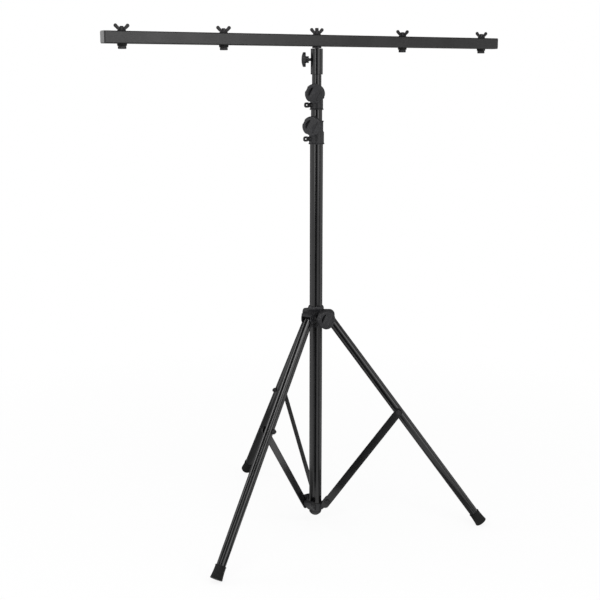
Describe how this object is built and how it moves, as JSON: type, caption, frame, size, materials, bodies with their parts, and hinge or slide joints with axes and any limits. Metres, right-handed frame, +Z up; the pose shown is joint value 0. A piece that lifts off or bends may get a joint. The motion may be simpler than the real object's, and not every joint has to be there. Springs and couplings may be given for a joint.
{
  "type": "lighting t bar stand",
  "caption": "Folding tripod stand with a telescoping mast and a drilled cross bar for hanging stage lights, with clamping knobs, safety pins and wing nuts.",
  "frame": {"origin": "middle of the footprint on the floor; the mast stands 111.6 mm behind it, towards -Y", "axes": "+Z up along the mast, X along the cross bar, +Y towards the leg that stands nearly square to the bar"},
  "size_m": [1.18, 0.746, 1.378],
  "materials": {
    "black_paint": "glossy black coating on steel tube",
    "bar_paint": "satin dark coating on square steel tube",
    "black_steel": "blackened steel hardware",
    "black_plastic": "satin black moulded plastic",
    "grey_plastic": "matt grey moulded plastic",
    "black_rubber": "matt black rubber",
    "brass": "turned brass"
  },
  "bodies": {
    "column": {"base_tube": "black_paint", "column_end_plug": "black_plastic", "brace_collar": "black_plastic", "collar_bolt_1": "black_steel", "collar_bolt_2": "black_steel", "collar_bolt_3": "black_steel", "lower_lock_collar": "black_plastic", "lower_clamp_pad": "brass"},
    "lower_knob": {"lower_lock_knob": "black_plastic"},
    "lower_pin": {"lower_safety_pin": "black_steel"},
    "middle_mast": {"middle_tube": "black_paint", "middle_tube_plug": "black_plastic", "upper_lock_collar": "black_plastic", "upper_clamp_pad": "brass"},
    "upper_knob": {"upper_lock_knob": "black_plastic"},
    "upper_pin": {"upper_safety_pin": "black_steel"},
    "top_mast": {"top_tube": "black_paint", "top_tube_plug": "black_plastic", "top_sleeve": "black_paint"},
    "head_knob": {"sleeve_knob": "black_plastic"},
    "spigot": {"spigot": "black_steel"},
    "cross_bar": {"t_bar": "bar_paint", "end_cap_left": "grey_plastic", "end_cap_right": "grey_plastic", "fixture_bolt_1": "black_steel", "fixture_bolt_2": "black_steel", "fixture_bolt_3": "black_steel", "fixture_bolt_4": "black_steel", "bolt_spacer_1": "black_rubber", "bolt_spacer_2": "black_rubber", "bolt_spacer_3": "black_rubber", "bolt_spacer_4": "black_rubber"},
    "nut_centre": {"wing_nut_centre": "black_steel"},
    "nut_1": {"wing_nut_1": "black_steel"},
    "nut_2": {"wing_nut_2": "black_steel"},
    "nut_3": {"wing_nut_3": "black_steel"},
    "nut_4": {"wing_nut_4": "black_steel"},
    "hub": {"hub": "black_plastic", "hub_clamp_pad": "brass", "leg_pivot_bolt_1": "black_steel", "leg_pivot_bolt_2": "black_steel", "leg_pivot_bolt_3": "black_steel", "leg_pivot_nut_1": "black_steel", "leg_pivot_nut_2": "black_steel", "leg_pivot_nut_3": "black_steel"},
    "hub_knob": {"hub_knob": "black_plastic"},
    "leg_1": {"leg_tube_1": "black_paint", "foot_1": "black_rubber", "brace_bolt_1": "black_steel"},
    "brace_1": {"brace_1": "black_paint"},
    "leg_2": {"leg_tube_2": "black_paint", "foot_2": "black_rubber", "brace_bolt_2": "black_steel"},
    "brace_2": {"brace_2": "black_paint"},
    "leg_3": {"leg_tube_3": "black_paint", "foot_3": "black_rubber", "brace_bolt_3": "black_steel"},
    "brace_3": {"brace_3": "black_paint"}
  },
  "joints": [
    {"name": "tripod_fold", "type": "hinge", "parent": "column", "child": "brace_1", "pos_m": [0.00083, -0.07765, 0.06597], "axis": [0.9997, -0.0244, 0], "range_deg": [-13.6, 33.9]},
    {"name": "leg_1_swing", "type": "hinge", "parent": "brace_1", "child": "leg_1", "pos_m": [0.00566, 0.12002, 0.33417], "axis": [0.9997, -0.0244, 0], "range_deg": [-67.8, 27.2]},
    {"name": "hub_rise", "type": "hinge", "parent": "leg_1", "child": "hub", "pos_m": [0.00083, -0.07765, 0.60236], "axis": [0.9997, -0.0244, 0], "range_deg": [-13.6, 33.9]},
    {"name": "leg_2_swing", "type": "hinge", "parent": "hub", "child": "leg_2", "pos_m": [-0.02985, -0.12792, 0.60236], "axis": [-0.4787, 0.878, 0], "range_deg": [-33.9, 13.6]},
    {"name": "brace_2_swing", "type": "hinge", "parent": "column", "child": "brace_2", "pos_m": [-0.02985, -0.12792, 0.06597], "axis": [-0.4787, 0.878, 0], "range_deg": [-13.6, 33.9]},
    {"name": "leg_3_swing", "type": "hinge", "parent": "hub", "child": "leg_3", "pos_m": [0.02902, -0.12936, 0.60236], "axis": [-0.521, -0.8536, 0], "range_deg": [-33.9, 13.6]},
    {"name": "brace_3_swing", "type": "hinge", "parent": "column", "child": "brace_3", "pos_m": [0.02902, -0.12936, 0.06597], "axis": [-0.521, -0.8536, 0], "range_deg": [-13.6, 33.9]},
    {"name": "hub_knob_turn", "type": "hinge", "parent": "hub", "child": "hub_knob", "pos_m": [0, -0.14164, 0.60236], "axis": [0, -1, 0], "continuous": true},
    {"name": "middle_mast_slide", "type": "slide", "parent": "column", "child": "middle_mast", "axis": [0, 0, 1], "range_m": [0, 0.85]},
    {"name": "lower_knob_turn", "type": "hinge", "parent": "column", "child": "lower_knob", "pos_m": [0, -0.11164, 1.12317], "axis": [-0.682, -0.7314, 0], "continuous": true},
    {"name": "lower_pin_pull", "type": "slide", "parent": "column", "child": "lower_pin", "axis": [-1, 0, 0], "range_m": [0, 0.012]},
    {"name": "top_mast_slide", "type": "slide", "parent": "middle_mast", "child": "top_mast", "axis": [0, 0, 1], "range_m": [0, 0.85]},
    {"name": "upper_knob_turn", "type": "hinge", "parent": "middle_mast", "child": "upper_knob", "pos_m": [0, -0.11164, 1.20727], "axis": [-0.5736, -0.8192, 0], "continuous": true},
    {"name": "upper_pin_pull", "type": "slide", "parent": "middle_mast", "child": "upper_pin", "axis": [-1, 0, 0], "range_m": [0, 0.012]},
    {"name": "head_knob_turn", "type": "hinge", "parent": "top_mast", "child": "head_knob", "pos_m": [0, -0.11164, 1.29537], "axis": [-0.8771, 0.4802, 0], "continuous": true},
    {"name": "spigot_lift", "type": "slide", "parent": "top_mast", "child": "spigot", "axis": [0, 0, 1], "range_m": [0, 0.08]},
    {"name": "bar_swivel", "type": "hinge", "parent": "spigot", "child": "cross_bar", "pos_m": [0, -0.11164, 1.34417], "axis": [0, 0, 1], "continuous": true},
    {"name": "centre_nut_turn", "type": "hinge", "parent": "spigot", "child": "nut_centre", "pos_m": [0, -0.11164, 1.35947], "axis": [0, 0, 1], "continuous": true},
    {"name": "nut_1_turn", "type": "hinge", "parent": "cross_bar", "child": "nut_1", "pos_m": [-0.53997, -0.11164, 1.35947], "axis": [0, 0, 1], "continuous": true},
    {"name": "nut_2_turn", "type": "hinge", "parent": "cross_bar", "child": "nut_2", "pos_m": [-0.26998, -0.11164, 1.35947], "axis": [0, 0, 1], "continuous": true},
    {"name": "nut_3_turn", "type": "hinge", "parent": "cross_bar", "child": "nut_3", "pos_m": [0.26998, -0.11164, 1.35947], "axis": [0, 0, 1], "continuous": true},
    {"name": "nut_4_turn", "type": "hinge", "parent": "cross_bar", "child": "nut_4", "pos_m": [0.53997, -0.11164, 1.35947], "axis": [0, 0, 1], "continuous": true}
  ],
  "couplings": [
    {"joint": "leg_1_swing", "follows": "tripod_fold", "ratio": -2},
    {"joint": "hub_rise", "follows": "tripod_fold", "ratio": 1},
    {"joint": "leg_2_swing", "follows": "tripod_fold", "ratio": -1},
    {"joint": "brace_2_swing", "follows": "tripod_fold", "ratio": 1},
    {"joint": "leg_3_swing", "follows": "tripod_fold", "ratio": -1},
    {"joint": "brace_3_swing", "follows": "tripod_fold", "ratio": 1}
  ]
}
